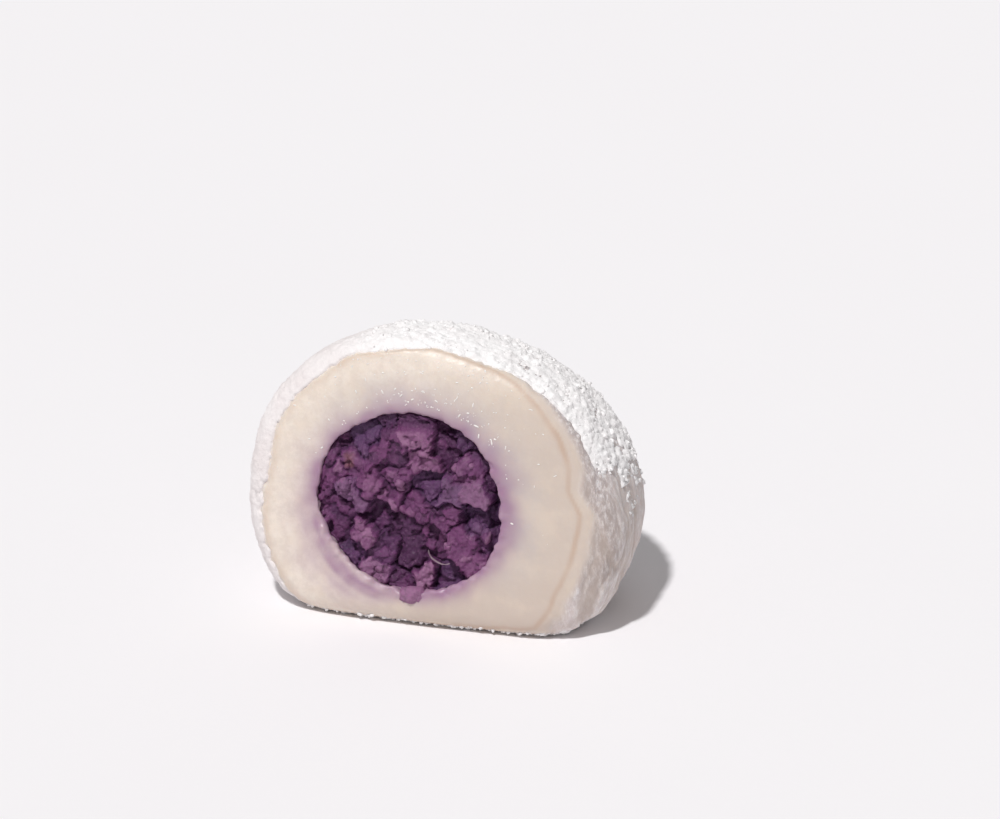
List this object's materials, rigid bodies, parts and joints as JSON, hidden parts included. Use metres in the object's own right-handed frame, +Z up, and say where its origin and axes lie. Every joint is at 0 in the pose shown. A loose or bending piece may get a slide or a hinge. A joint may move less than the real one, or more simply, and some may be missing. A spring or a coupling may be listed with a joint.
{
  "type": "mochi rice cake",
  "caption": "Cut half of a round stuffed rice cake: soft pale dough round a ball of crumbly purple sweet potato paste, resting on its flattened underside.",
  "frame": {"origin": "middle of the overall box, on the underside that the cake rests on", "axes": "+Z up, the cut face looks towards -Y and leans back by about 10 degrees, +X to the right when looking at the cut face"},
  "size_m": [0.05, 0.0334, 0.0365],
  "materials": {
    "rice_dough": "soft, slightly moist, translucent rice dough",
    "sweet_potato": "crumbly moist paste",
    "starch_powder": "dry white starch powder"
  },
  "bodies": {
    "root": {"rice_cake": "rice_dough", "sweet_potato_paste": "sweet_potato"}
  },
  "joints": []
}
